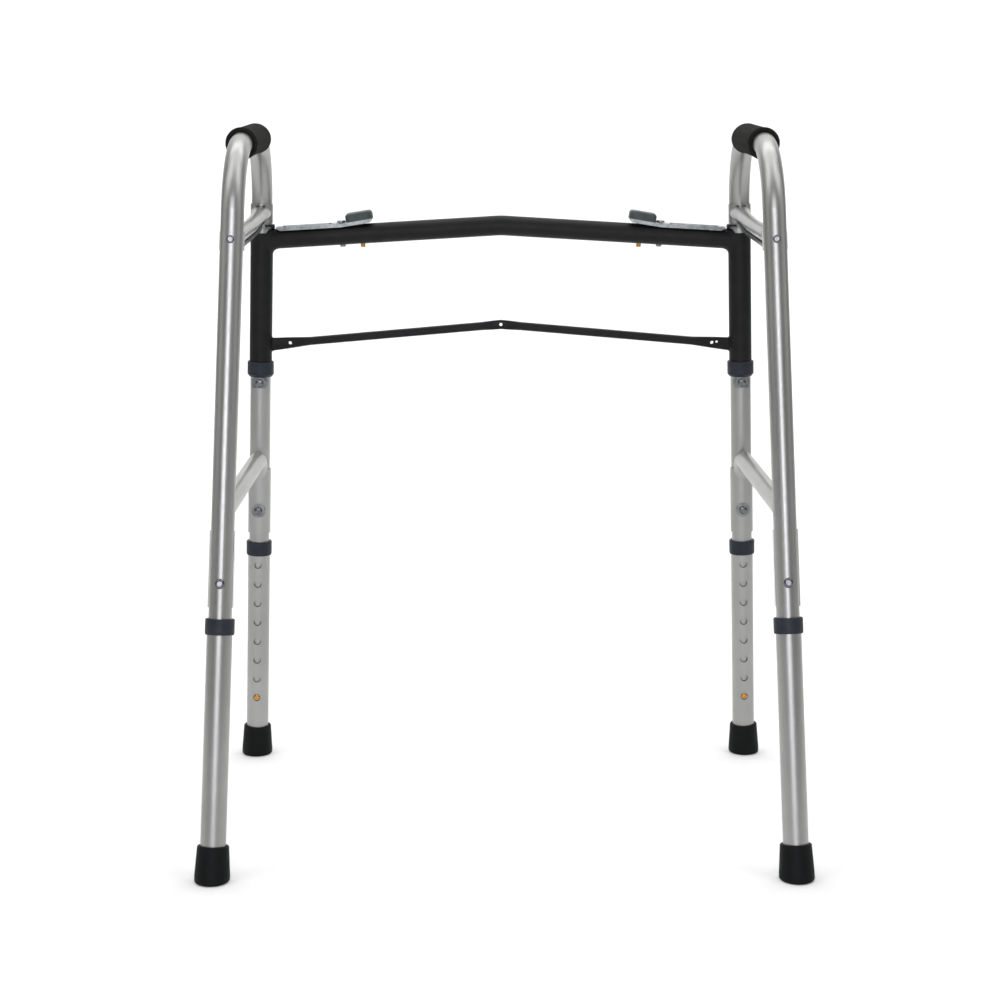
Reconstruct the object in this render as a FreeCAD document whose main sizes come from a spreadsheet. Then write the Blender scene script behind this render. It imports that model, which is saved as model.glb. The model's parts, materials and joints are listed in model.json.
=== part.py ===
import FreeCAD, Part
import Sketcher
import math
import os
from FreeCAD import Placement, Rotation, Vector

# A folding walking frame. +Z is up, +Y is forwards (away from the user) and +X is to the user's right.
# The origin is on the floor, in the middle of the four feet. Lengths are in millimetres.

DRIVING = [
    ("foot_half_width", 320, "middle of the frame to a leg's axis, at the floor"),
    ("foot_half_depth", 227.5, "middle of the frame to a leg's axis, front to back, at the floor"),
    ("splay", 0.0344, "how far every leg leans inwards for each mm of height"),
    ("front_lean", 0.0346, "how far a front leg leans back for each mm of height"),
    ("rear_lean", 0.1765, "how far a rear leg leans forwards for each mm of height"),
    ("tube_od", 25.4, "the bent side tube"),
    ("tube_wall", 1.2, "wall of the side tube"),
    ("tube_bottom", 56, "floor to the lower ends of the side tube, along a leg"),
    ("handle_height", 798.8, "floor to the front corner of the handle's middle line"),
    ("handle_drop", 10.1, "the rear corner below the front one: the handle is square to the front legs"),
    ("bend_radius", 85, "bends at the two ends of the handle"),
    ("grip_od", 35, "foam grip"),
    ("grip_front_sweep", 13, "degrees of the front bend that the grip covers"),
    ("grip_rear_sweep", 3, "degrees of the rear bend that the grip covers"),
    ("running_gap", 0.08, "radial clearance between parts that slide or turn"),
    ("sleeve_od", 28, "sleeve that turns on a front leg"),
    ("sleeve_bottom", 512, "floor to the sleeve's lower end, along the leg"),
    ("sleeve_top", 680.8, "floor to the sleeve's upper end, along the leg"),
    ("bush_od", 33, "plastic bush at the sleeve's lower end"),
    ("bush_bottom", 500.7, "floor to the bush, along the leg"),
    ("bush_height", 19, "height of that bush"),
    ("crossbar_od", 24.6, "bar that joins the two sleeves"),
    ("crossbar_wall", 1.5, "wall of the crossbar"),
    ("crossbar_height", 671, "floor to the crossbar's middle, at a sleeve"),
    ("crossbar_rise", 17.5, "how much higher the crossbar is at its middle"),
    ("crossbar_bend", 60, "bend radius at the crossbar's middle"),
    ("lower_bar_od", 10.4, "thin bar under the crossbar"),
    ("lower_bar_height", 539, "floor to the lower bar's middle, at a sleeve"),
    ("lower_bar_rise", 26, "how much higher the lower bar is at its middle"),
    ("lower_bar_flat", 16.8, "height of the lower bar's flattened ends"),
    ("lower_bar_pinch", 3.2, "thickness of the lower bar's flattened ends"),
    ("upper_brace_od", 17, "side brace under the handle"),
    ("upper_brace_wall", 1.5, "wall of the upper side brace"),
    ("upper_brace_front", 704, "floor to the upper brace at the front leg"),
    ("upper_brace_kink", 695, "floor to the upper brace at its kink"),
    ("upper_brace_rear", 688, "floor to the upper brace at the rear leg"),
    ("kink_back", 120, "front leg to the kink in the upper brace"),
    ("lower_brace_od", 21.5, "side brace half way down the legs"),
    ("lower_brace_wall", 1.2, "wall of the lower side brace"),
    ("lower_brace_height", 396, "floor to the lower brace"),
    ("lower_brace_bend", 30, "bends at the lower brace's two ends"),
    ("saddle_wall", 1.6, "half-round saddles that clasp the legs"),
    ("saddle_bottom", 299, "floor to the lower brace's saddles, along a leg"),
    ("brace_bolt_front", 329.6, "floor to the lower brace's bolt, along a front leg"),
    ("brace_bolt_rear", 325.4, "floor to the lower brace's bolt, along a rear leg"),
    ("hinge_bolt_height", 493.6, "floor to the bolt under the bush, along the leg"),
    ("bolt_shank", 5, "bolts through the legs"),
    ("extension_od", 27.9, "leg extension that slides on the side tube"),
    ("extension_bottom", 9.6, "floor to the extension's lower end, along a leg"),
    ("extension_top", 284.8, "floor to the extension's upper end, along a leg"),
    ("collar_od", 32.3, "plastic collar at the extension's upper end"),
    ("collar_bottom", 269.6, "floor to the collar, along a leg"),
    ("collar_height", 17.5, "height of the collar"),
    ("button_height", 80.4, "floor to the snap button, along a leg"),
    ("hole_pitch", 25.4, "spacing of the height holes"),
    ("hole_count", 8, "number of height holes"),
    ("hole_od", 8.7, "height holes and the button's hole in the side tube"),
    ("button_od", 8.4, "snap button"),
    ("button_reach", 15.9, "leg's axis to the top of the button's dome"),
    ("tip_od", 39, "rubber tip at the floor"),
    ("tip_top_od", 35, "rubber tip at its rim"),
    ("tip_height", 39, "height of the rubber tip"),
    ("tip_floor", 8, "rubber under the extension"),
    ("lever_start", 19.6, "leg's axis to the latch lever, along the crossbar"),
    ("lever_pivot", 100, "leg's axis to the latch lever's pivot"),
    ("lever_end", 139, "leg's axis to the end of the latch lever"),
    ("lever_width", 23, "width of the latch lever"),
    ("lever_plate", 1.5, "plate of the latch lever"),
    ("lever_gap", 1, "latch lever's plate above the crossbar"),
    ("lever_lip", 3, "lips along the latch lever's edges"),
    ("lever_tilt", 6, "degrees that the latch lever's tail is bent up, and can be pressed"),
    ("pin_distance", 125, "leg's axis to the brass pin"),
    ("pin_od", 6, "brass pin"),
    ("pin_stands_out", 4.4, "brass pin below the crossbar"),
    ("rivet_shank", 5, "rivet at the latch lever's pivot"),
    ("paddle_length", 33.5, "plastic paddle"),
    ("paddle_width", 27, "plastic paddle"),
    ("bracket_width", 15, "zinc bracket under the upper brace"),
    ("bracket_plate", 1.4, "plate of the zinc bracket"),
    ("bracket_depth", 3, "depth of the bracket's channel"),
    ("ring_od", 33, "bracket's ring round the front leg"),
    ("ring_height", 687.6, "floor to the bracket's ring, along the leg"),
    ("washer_od", 31.6, "black washer on the bracket's ring"),
    ("washer_height", 2, "thickness of the black washer"),
]

SIDES = {"left": -1, "right": 1}
LEGS = ("front", "rear")

DOC = FreeCAD.newDocument("walking_frame")
NODES = []


def make_sheet():
    """The spreadsheet of driving dimensions: one alias for each row."""
    sheet = DOC.addObject("Spreadsheet::Sheet", "Sheet")
    for row, (alias, value, meaning) in enumerate(DRIVING, start=1):
        sheet.set(f"A{row}", alias)
        sheet.set(f"B{row}", str(value))
        sheet.set(f"C{row}", meaning)
        sheet.setAlias(f"B{row}", alias)
    DOC.recompute()
    return sheet


SHEET = make_sheet()


class Size:
    """A dimension: its number now, and the expression that keeps it bound to the sheet."""

    def __init__(self, number, text=None):
        self.number = float(number)
        self.text = text or repr(self.number)
        self.bound = text is not None

    def join(self, other, sign, number):
        text = f"({self.text} {sign} {other.text})"
        return Size(number, text if self.bound or other.bound else None)

    def __add__(self, other):
        other = sized(other)
        return self.join(other, "+", self.number + other.number)

    def __sub__(self, other):
        other = sized(other)
        return self.join(other, "-", self.number - other.number)

    def __mul__(self, other):
        other = sized(other)
        return self.join(other, "*", self.number * other.number)

    def __truediv__(self, other):
        other = sized(other)
        return self.join(other, "/", self.number / other.number)

    def __radd__(self, other):
        return sized(other) + self

    def __rsub__(self, other):
        return sized(other) - self

    def __rmul__(self, other):
        return sized(other) * self

    def __neg__(self):
        return 0 - self


def sized(value):
    return value if isinstance(value, Size) else Size(value)


def size(alias):
    """A driving dimension, bound to its cell."""
    return Size(SHEET.get(alias), f"Sheet.{alias}")


def number(alias):
    return float(SHEET.get(alias))


# ---- Places: where the legs, the front frame and the levers stand ----

def leg_lean(leg):
    """How far a leg leans back for each mm of height."""
    return number("front_lean") if leg == "front" else -number("rear_lean")


def leg_place(side, leg):
    """A leg's frame: origin on the floor, Z up the leg, X square to the side frame, Y forwards."""
    sign = SIDES[side]
    depth = number("foot_half_depth") * (1 if leg == "front" else -1)
    foot = Vector(sign * number("foot_half_width"), depth, 0)
    along = Vector(-sign * number("splay"), -leg_lean(leg), 1)
    across = Vector(1, 0, sign * number("splay"))
    return Placement(foot, Rotation(across, along.cross(across), along, "ZXY"))


def side_across(side):
    """The direction square to a side frame, pointing to the user's right."""
    return Vector(1, 0, SIDES[side] * number("splay")).normalize()


def point_on_leg(side, leg, height):
    """The point of a leg's axis at a height above the floor."""
    depth = number("foot_half_depth") * (1 if leg == "front" else -1)
    x = SIDES[side] * (number("foot_half_width") - number("splay") * height)
    return Vector(x, depth - leg_lean(leg) * height, height)


def point_behind_front_leg(side, distance, height):
    """A point of the side frame's plane, that far behind the front leg's axis."""
    return point_on_leg(side, "front", height) - Vector(0, distance, 0)


def front_plane():
    """The plane of both front legs: origin between their feet, Z up the plane, X to the right."""
    up = Vector(0, -number("front_lean"), 1)
    across = Vector(1, 0, 0)
    origin = Vector(0, number("foot_half_depth"), 0)
    return Placement(origin, Rotation(across, up.cross(across), up, "ZXY"))


def in_front_plane(x, height):
    """The point of the front plane at a height above the floor."""
    return Vector(x, number("foot_half_depth") - number("front_lean") * height, height)


def crossbar_slope():
    """The slope of the crossbar's halves, in radians."""
    end = point_on_leg("right", "front", number("crossbar_height")).x
    return math.atan2(number("crossbar_rise"), end)


def lever_place(side):
    """A latch lever's frame: origin on top of the crossbar over the leg's axis.

    X runs inboard along the bar and Z away from it.
    """
    start = point_on_leg(side, "front", number("crossbar_height"))
    middle = in_front_plane(0, number("crossbar_height") + number("crossbar_rise"))
    along = (middle - start).normalize()
    square = front_plane().Rotation.multVec(Vector(0, 1, 0)) * -SIDES[side]
    up = along.cross(square).normalize()
    start += up * (number("crossbar_od") / 2)
    return Placement(start, Rotation(along, square, up, "ZXY"))


def shifted(place, x=0, y=0, z=0, turn=None):
    """A placement moved, and then turned, in its own axes."""
    return place.multiply(Placement(Vector(x, y, z), turn or Rotation()))


POINT_BACK = Rotation(Vector(1, 0, 0), 90)
POINT_FORWARD = Rotation(Vector(1, 0, 0), -90)
HALF_TURN = Rotation(Vector(0, 0, 1), 180)


# ---- Sketches and features ----

def bind(target, name, value):
    """Set a property, and bind it to the sheet where its value comes from there."""
    value = sized(value)
    setattr(target, name, value.number)
    if value.bound:
        target.setExpression(name, value.text)


def dimension(sketch, kind, where, value):
    """A dimensional constraint, bound to the sheet where its value comes from there."""
    value = sized(value)
    index = sketch.addConstraint(Sketcher.Constraint(kind, *where, value.number))
    if value.bound:
        sketch.setExpression(f"Constraints[{index}]", value.text)


def pin(sketch, element, end, x, y):
    """Hold a point of a sketch at x, y from its origin."""
    for kind, axis, value in (("DistanceX", -2, sized(x)), ("DistanceY", -1, sized(y))):
        if abs(value.number) < 1e-9:
            sketch.addConstraint(Sketcher.Constraint("PointOnObject", element, end, axis))
        elif value.number > 0:
            dimension(sketch, kind, (-1, 1, element, end), value)
        else:
            dimension(sketch, kind, (element, end, -1, 1), -value)


def flat(x, y):
    return Vector(sized(x).number, sized(y).number, 0)


def new_body(name, place):
    body = DOC.addObject("PartDesign::Body", name)
    body.Placement = place
    return body


def new_sketch(body, plane, offset=0):
    """A sketch on one of the body's origin planes: XY, XZ (its normal is -Y) or YZ."""
    sketch = body.newObject("Sketcher::SketchObject", f"{body.Name}_sketch")
    role = f"{plane}_Plane"
    support = next(f for f in body.Origin.OriginFeatures if f.Role == role)
    sketch.AttachmentSupport = [(support, "")]
    sketch.MapMode = "FlatFace"
    offset = sized(offset)
    if offset.number:
        sketch.AttachmentOffset = Placement(Vector(0, 0, offset.number), Rotation())
        sketch.setExpression(".AttachmentOffset.Base.z", offset.text)
    return sketch


def circle(sketch, radius, x=0, y=0):
    shape = Part.Circle(flat(x, y), Vector(0, 0, 1), sized(radius).number)
    index = sketch.addGeometry(shape, False)
    pin(sketch, index, 3, x, y)
    dimension(sketch, "Radius", (index,), radius)


def outline(sketch, corners):
    """A closed outline of straight lines through corners."""
    count = len(corners)
    for n in range(count):
        line = Part.LineSegment(flat(*corners[n]), flat(*corners[(n + 1) % count]))
        sketch.addGeometry(line, False)
    for n in range(count):
        sketch.addConstraint(Sketcher.Constraint("Coincident", n, 2, (n + 1) % count, 1))
        pin(sketch, n, 1, *corners[n])


def slot(sketch, start, end, radius):
    """A slot along the sketch's X axis, between two centres."""
    radius_now, x0, x1 = (sized(v).number for v in (radius, start, end))
    sketch.addGeometry(Part.LineSegment(Vector(x0, radius_now, 0), Vector(x1, radius_now, 0)), False)
    sketch.addGeometry(Part.LineSegment(Vector(x0, -radius_now, 0), Vector(x1, -radius_now, 0)), False)
    for x, way in ((x0, -1), (x1, 1)):
        ends = Vector(x, radius_now, 0), Vector(x + way * radius_now, 0, 0), Vector(x, -radius_now, 0)
        sketch.addGeometry(arc_through(*ends), False)
    for n, where in ((0, 1), (0, 2), (1, 1), (1, 2)):
        x = start if where == 1 else end
        pin(sketch, n, where, x, radius if n == 0 else -sized(radius))
    join_ends(sketch, "Coincident", 0, 2)
    join_ends(sketch, "Coincident", 2, 1)
    join_ends(sketch, "Coincident", 1, 3)
    join_ends(sketch, "Coincident", 3, 0)
    dimension(sketch, "DistanceX", (-1, 1, 2, 3), start)
    dimension(sketch, "DistanceX", (-1, 1, 3, 3), end)


def arc_through(start, middle, end):
    """An arc through three points of a sketch. A sketch's arcs run anticlockwise."""
    if (middle - start).cross(end - middle).z < 0:
        start, end = end, start
    return Part.Arc(start, middle, end)


def ends_of(sketch, index):
    geometry = sketch.Geometry[index]
    return {1: geometry.StartPoint, 2: geometry.EndPoint}


def join_ends(sketch, kind, one, other):
    """Join two elements where their ends meet: Coincident, or Tangent for a smooth joint."""
    for end, point in ends_of(sketch, one).items():
        for other_end, other_point in ends_of(sketch, other).items():
            if (point - other_point).Length < 1e-6:
                sketch.addConstraint(Sketcher.Constraint(kind, one, end, other, other_end))


def bent_line(sketch, corners, bend):
    """A line through corners, each rounded by a tangent arc of the bend's radius."""
    radius = sized(bend).number
    pieces, at = [], corners[0]
    for before, corner, after in zip(corners, corners[1:], corners[2:]):
        back = (before - corner).normalize()
        onward = (after - corner).normalize()
        half = back.getAngle(onward) / 2
        reach = radius / math.tan(half)
        middle = (back + onward).normalize() * (radius / math.sin(half) - radius)
        start, end = corner + back * reach, corner + onward * reach
        if (start - at).Length > 1e-6:
            pieces.append(Part.LineSegment(at, start))
        pieces.append(arc_through(start, corner + middle, end))
        at = end
    if (corners[-1] - at).Length > 1e-6:
        pieces.append(Part.LineSegment(at, corners[-1]))
    for index, piece in enumerate(pieces):
        sketch.addGeometry(piece, False)
        if index:
            join_ends(sketch, "Tangent", index - 1, index)
        else:
            sketch.addConstraint(Sketcher.Constraint("Coincident", 0, end_at_origin(sketch), -1, 1))
        if isinstance(piece, Part.LineSegment):
            length = (piece.EndPoint - piece.StartPoint).Length
            dimension(sketch, "Distance", (index,), length)
        else:
            dimension(sketch, "Radius", (index,), bend)


def end_at_origin(sketch):
    """Which end of a sketch's first element is at the origin."""
    return min((point.Length, end) for end, point in ends_of(sketch, 0).items())[1]


def feature(body, kind, sketch, **sizes):
    made = body.newObject(f"PartDesign::{kind}", f"{body.Name}_{kind.lower()}")
    made.Profile = sketch
    for name, value in sizes.items():
        bind(made, name, value)
    return made


def pad(body, sketch, length, both_ways=False):
    made = feature(body, "Pad", sketch, Length=length)
    made.SideType = "Symmetric" if both_ways else "One side"
    return made


def pocket(body, sketch, length, both_ways=False, reverse=False):
    made = feature(body, "Pocket", sketch, Length=length)
    made.SideType = "Symmetric" if both_ways else "One side"
    made.Reversed = reverse
    return made


def revolve(body, corners):
    """A solid of revolution about the body's Z axis. Each corner is its radius and its height."""
    sketch = new_sketch(body, "XZ")
    outline(sketch, corners)
    made = feature(body, "Revolution", sketch, Angle=360)
    made.ReferenceAxis = (sketch, ["V_Axis"])
    return made


def round_edges(body, radius, chosen):
    """Fillet the edges of the body so far that chosen() picks."""
    DOC.recompute()
    base = body.Tip
    names = [f"Edge{n}" for n, edge in enumerate(base.Shape.Edges, start=1) if chosen(edge)]
    if not names:
        raise ValueError(f"{body.Name}: no edges to round")
    made = body.newObject("PartDesign::Fillet", f"{body.Name}_fillet")
    made.Base = (base, names)
    bind(made, "Radius", radius)
    return made


def is_rim(edge, radius, height, tolerance=0.01):
    """Is the edge a circle about the body's Z axis, with that radius and height?"""
    curve = edge.Curve
    if not isinstance(curve, Part.Circle):
        return False
    return abs(curve.Radius - sized(radius).number) < tolerance and abs(
        curve.Center.z - sized(height).number
    ) < tolerance


def tube_between(name, corners, across, outer, inner, bend):
    """A bent tube through points that lie in one plane, square to across. It starts at the first."""
    along = (corners[1] - corners[0]).normalize()
    place = Placement(corners[0], Rotation(across, along.cross(across), along, "ZXY"))
    body = new_body(name, place)
    ring = new_sketch(body, "XY")
    circle(ring, sized(outer) / 2)
    circle(ring, sized(inner) / 2)
    route = new_sketch(body, "YZ")
    local = [place.inverse().multVec(corner) for corner in corners]
    bent_line(route, [Vector(point.y, point.z, 0) for point in local], bend)
    pipe = body.newObject("PartDesign::AdditivePipe", f"{name}_pipe")
    pipe.Profile = ring
    pipe.Spine = route
    return body


def rod(name, radius, length, place):
    """A plain cylinder that starts at a placement and runs along its Z axis."""
    made = DOC.addObject("Part::Cylinder", name)
    bind(made, "Radius", radius)
    bind(made, "Height", length)
    made.Placement = place
    return made


def fused(name, shapes):
    made = DOC.addObject("Part::MultiFuse", name)
    made.Shapes = shapes
    made.Refine = True
    return made


def cut(name, base, tools):
    """A solid less its tools."""
    made = DOC.addObject("Part::Cut", name)
    made.Base = base
    made.Tool = tools[0] if len(tools) == 1 else fused(f"{name}_tools", tools)
    return made


def common(name, one, other):
    made = DOC.addObject("Part::Common", name)
    made.Base = one
    made.Tool = other
    return made


def together(name, pieces):
    """Separate solids that share one node."""
    made = DOC.addObject("Part::Compound", name)
    made.Links = pieces
    return made


def keep(label, made):
    """Name a finished sub-part."""
    made.Label = label
    NODES.append(made)
    return made


def washer_round(name, inner, outer, height, place):
    """A flat ring that starts at a placement and runs along its Z axis."""
    body = new_body(name, place)
    sketch = new_sketch(body, "XY")
    circle(sketch, sized(outer) / 2)
    circle(sketch, sized(inner) / 2)
    pad(body, sketch, height)
    return body


# ---- Side frames ----

BORE_START = 250  # along a leg, to the start and the length of the space that its tube takes
BORE_LENGTH = 500


def handle_corners(side):
    """Where the straight lines of a side tube meet: foot end, two handle corners, foot end."""
    bottom = Vector(0, 0, number("tube_bottom"))
    height = number("handle_height")
    return [
        leg_place(side, "front").multVec(bottom),
        point_on_leg(side, "front", height),
        point_on_leg(side, "rear", height - number("handle_drop")),
        leg_place(side, "rear").multVec(bottom),
    ]


def cross_drill(name, side, leg, height, radius, start=-40, length=80):
    """A drill through a leg, front to back, at a distance up the leg."""
    place = shifted(leg_place(side, leg), y=start, z=number(height), turn=POINT_FORWARD)
    return rod(name, radius, length, place)


def button_side(leg):
    """The buttons face backwards on the front legs and forwards on the rear legs."""
    return -1 if leg == "front" else 1


def screw_height():
    """Distance up the rear leg to the upper brace's screw."""
    height = number("upper_brace_rear")
    return height * math.sqrt(1 + number("splay") ** 2 + number("rear_lean") ** 2)


def make_side_tube(side):
    od, wall = size("tube_od"), size("tube_wall")
    tube = tube_between(
        f"bent_tube_{side}", handle_corners(side), side_across(side), od, od - 2 * wall, size("bend_radius")
    )
    drills = [cross_drill(f"hinge_bolt_drill_{side}", side, "front", "hinge_bolt_height", 2.6)]
    for leg in LEGS:
        drills.append(cross_drill(f"brace_drill_{leg}_{side}", side, leg, f"brace_bolt_{leg}", 2.6))
        start = min(0, 20 * button_side(leg))
        name = f"button_drill_{leg}_{side}"
        drills.append(cross_drill(name, side, leg, "button_height", size("hole_od") / 2, start, 20))
    place = shifted(leg_place(side, "rear"), y=-20, z=screw_height(), turn=POINT_FORWARD)
    drills.append(rod(f"screw_drill_{side}", 2.1, 40, place))
    keep(f"side_tube_{side}", cut(f"side_tube_{side}", tube, drills))


def grip_corners(side):
    """The corners of the grip's line, which ends part of the way round each bend."""
    foot, front, rear, other_foot = handle_corners(side)
    along = (rear - front).normalize()
    radius = number("bend_radius")
    corners = []
    for corner, leg_way, inwards, sweep in (
        (front, (foot - front).normalize(), along, number("grip_front_sweep")),
        (rear, (other_foot - rear).normalize(), -along, number("grip_rear_sweep")),
    ):
        turn = math.pi - leg_way.getAngle(inwards)
        tangent = corner + inwards * (radius * math.tan(turn / 2))
        reach = radius * math.tan(math.radians(sweep) / 2)
        bend_corner = tangent - inwards * reach
        down = leg_way - inwards * leg_way.dot(inwards)
        end_way = down.normalize() * math.sin(math.radians(sweep)) - inwards * math.cos(math.radians(sweep))
        corners.append((bend_corner, bend_corner + end_way * reach))
    (front_corner, front_end), (rear_corner, rear_end) = corners
    return [front_end, front_corner, rear_corner, rear_end]


def make_grip(side):
    grip = tube_between(
        f"grip_{side}", grip_corners(side), side_across(side),
        size("grip_od"), size("tube_od"), size("bend_radius"),
    )
    keep(f"grip_{side}", grip)


def saddle(name, side, leg, bottom, height, way, sweep=172):
    """A half-round shell round a leg, before its bore is cut. way is -1 behind the leg, 1 in front."""
    middle = 90 * way
    place = shifted(leg_place(side, leg), z=bottom, turn=Rotation(Vector(0, 0, 1), middle - sweep / 2))
    made = rod(name, size("tube_od") / 2 + size("saddle_wall"), height, place)
    made.Angle = sweep
    return made


def leg_bore(name, side, leg):
    """The space that a leg's tube takes, a hair larger than the tube."""
    place = shifted(leg_place(side, leg), z=BORE_START)
    return rod(name, size("tube_od") / 2 + 0.05, BORE_LENGTH, place)


RIVET_SEAT = 9.9  # middle of the upper brace to the flats that its two small rivets sit on


FLARE = [  # distance from the leg's axis, width, height and rise of the upper brace's flattened end
    (8, 24.4, 19.2, 1.1),
    (22, 23, 18.6, 0.8),
    (37, 19.4, 17.2, 0.2),
    (54, 16.2, 16.2, 0),
]


def make_brace_flare(side, place):
    """The flattened end of the upper brace, which widens to meet the front leg."""
    body = new_body(f"upper_brace_flare_{side}", place)
    sections = []
    for distance, wide, tall, rise in FLARE:
        sketch = new_sketch(body, "XY", distance)
        oval(sketch, wide, tall, rise)
        sections.append(sketch)
    loft = body.newObject("PartDesign::AdditiveLoft", f"{body.Name}_loft")
    loft.Profile = sections[0]
    loft.Sections = sections[1:]
    return body


def make_upper_brace(side):
    """A kinked tube whose flattened ends clasp both legs."""
    od = size("upper_brace_od")
    front = point_on_leg(side, "front", number("upper_brace_front"))
    kink = point_behind_front_leg(side, number("kink_back"), number("upper_brace_kink"))
    rear = point_on_leg(side, "rear", number("upper_brace_rear"))
    tube = tube_between(
        f"upper_brace_tube_{side}", [front, kink, rear], side_across(side),
        od, od - 2 * size("upper_brace_wall"), 90,
    )
    front_height = leg_place(side, "front").inverse().multVec(front).z
    cups = [
        saddle(f"upper_front_cup_{side}", side, "front", front_height - 11.5, 23, -1, 150),
        saddle(f"upper_rear_cup_{side}", side, "rear", screw_height() - 10, 20, 1, 150),
    ]
    bores = [leg_bore(f"upper_{leg}_bore_{side}", side, leg) for leg in LEGS]
    place = shifted(leg_place(side, "rear"), y=0, z=screw_height(), turn=POINT_FORWARD)
    bores.append(rod(f"upper_screw_bore_{side}", 2.1, 30, place))
    for index, x in enumerate((-4.5, 4.5)):
        place = shifted(leg_place(side, "front"), x=x, y=-18.5, z=front_height)
        bores.append(rod(f"brace_rivet_bore_{side}_{index}", 1.25, 30, shifted(place, z=-15)))
        bores.append(rod(f"brace_rivet_face_{side}_{index}", 2.3, 8, shifted(place, z=RIVET_SEAT - 0.05)))
    blank = fused(f"upper_brace_blank_{side}", [tube, make_brace_flare(side, tube.Placement)] + cups)
    keep(f"upper_brace_{side}", cut(f"upper_brace_{side}", blank, bores))
    make_brace_fixings(side, front_height)


def make_brace_fixings(side, height):
    """Two small rivets through the upper brace's front end, and the dome screw at its rear end."""
    pieces = []
    for index, x in enumerate((-4.5, 4.5)):
        place = shifted(leg_place(side, "front"), x=x, y=-18.5, z=height)
        body = new_body(f"brace_rivet_{side}_{index}", place)
        top = RIVET_SEAT
        revolve(body, [(0, -9), (1.2, -9), (1.2, top), (2.2, top), (2.2, top + 1.2), (0, top + 1.2)])
        round_edges(body, 0.8, lambda edge: is_rim(edge, 2.2, top + 1.2))
        pieces.append(body)
    behind = -number("tube_od") / 2 - 0.1
    place = shifted(leg_place(side, "rear"), y=behind, z=screw_height(), turn=POINT_FORWARD)
    screw = new_body(f"brace_screw_{side}", place)
    revolve(screw, [(0, -2.4), (4.4, -2.4), (4.4, 0), (2, 0), (2, 34), (0, 34)])
    round_edges(screw, 2.0, lambda edge: is_rim(edge, 4.4, -2.4))
    pieces.append(screw)
    keep(f"brace_fixings_{side}", together(f"brace_fixings_{side}", pieces))


def lower_brace_corners(side):
    """The lower brace runs level, and turns down to lie along each leg's inner face."""
    height = number("lower_brace_height")
    hug = number("tube_od") / 2 + number("saddle_wall") - number("lower_brace_od") / 2
    ends = []
    for leg, way in (("front", -1), ("rear", 1)):
        frame = leg_place(side, leg)
        up = frame.Rotation.multVec(Vector(0, 0, 1))
        offset = frame.Rotation.multVec(Vector(0, way * hug, 0))
        corner = point_on_leg(side, leg, height) + offset
        corner += up * ((height - corner.z) / up.z)
        ends.append((corner - up * 60, corner))
    (front_end, front), (rear_end, rear) = ends
    return [front_end, front, rear, rear_end]


def make_lower_brace(side):
    od = size("lower_brace_od")
    tube = tube_between(
        f"lower_brace_tube_{side}", lower_brace_corners(side), side_across(side), od,
        od - 2 * size("lower_brace_wall"), size("lower_brace_bend"),
    )
    bottom = number("saddle_bottom")
    pieces = [tube]
    bores = []
    for leg, way in (("front", -1), ("rear", 1)):
        pieces.append(saddle(f"lower_{leg}_saddle_{side}", side, leg, bottom, 84, way))
        bores.append(leg_bore(f"lower_{leg}_bore_{side}", side, leg))
        bores.append(cross_drill(f"saddle_drill_{leg}_{side}", side, leg, f"brace_bolt_{leg}", 2.6))
    blank = fused(f"lower_brace_blank_{side}", pieces)
    keep(f"lower_brace_{side}", cut(f"lower_brace_{side}", blank, bores))


TONGUE = 1.9  # thickness of the bracket's tongue, between its channel and its ring
SKIRT = 1.3  # how far the stop skirt hangs below the bracket's ring


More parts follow.
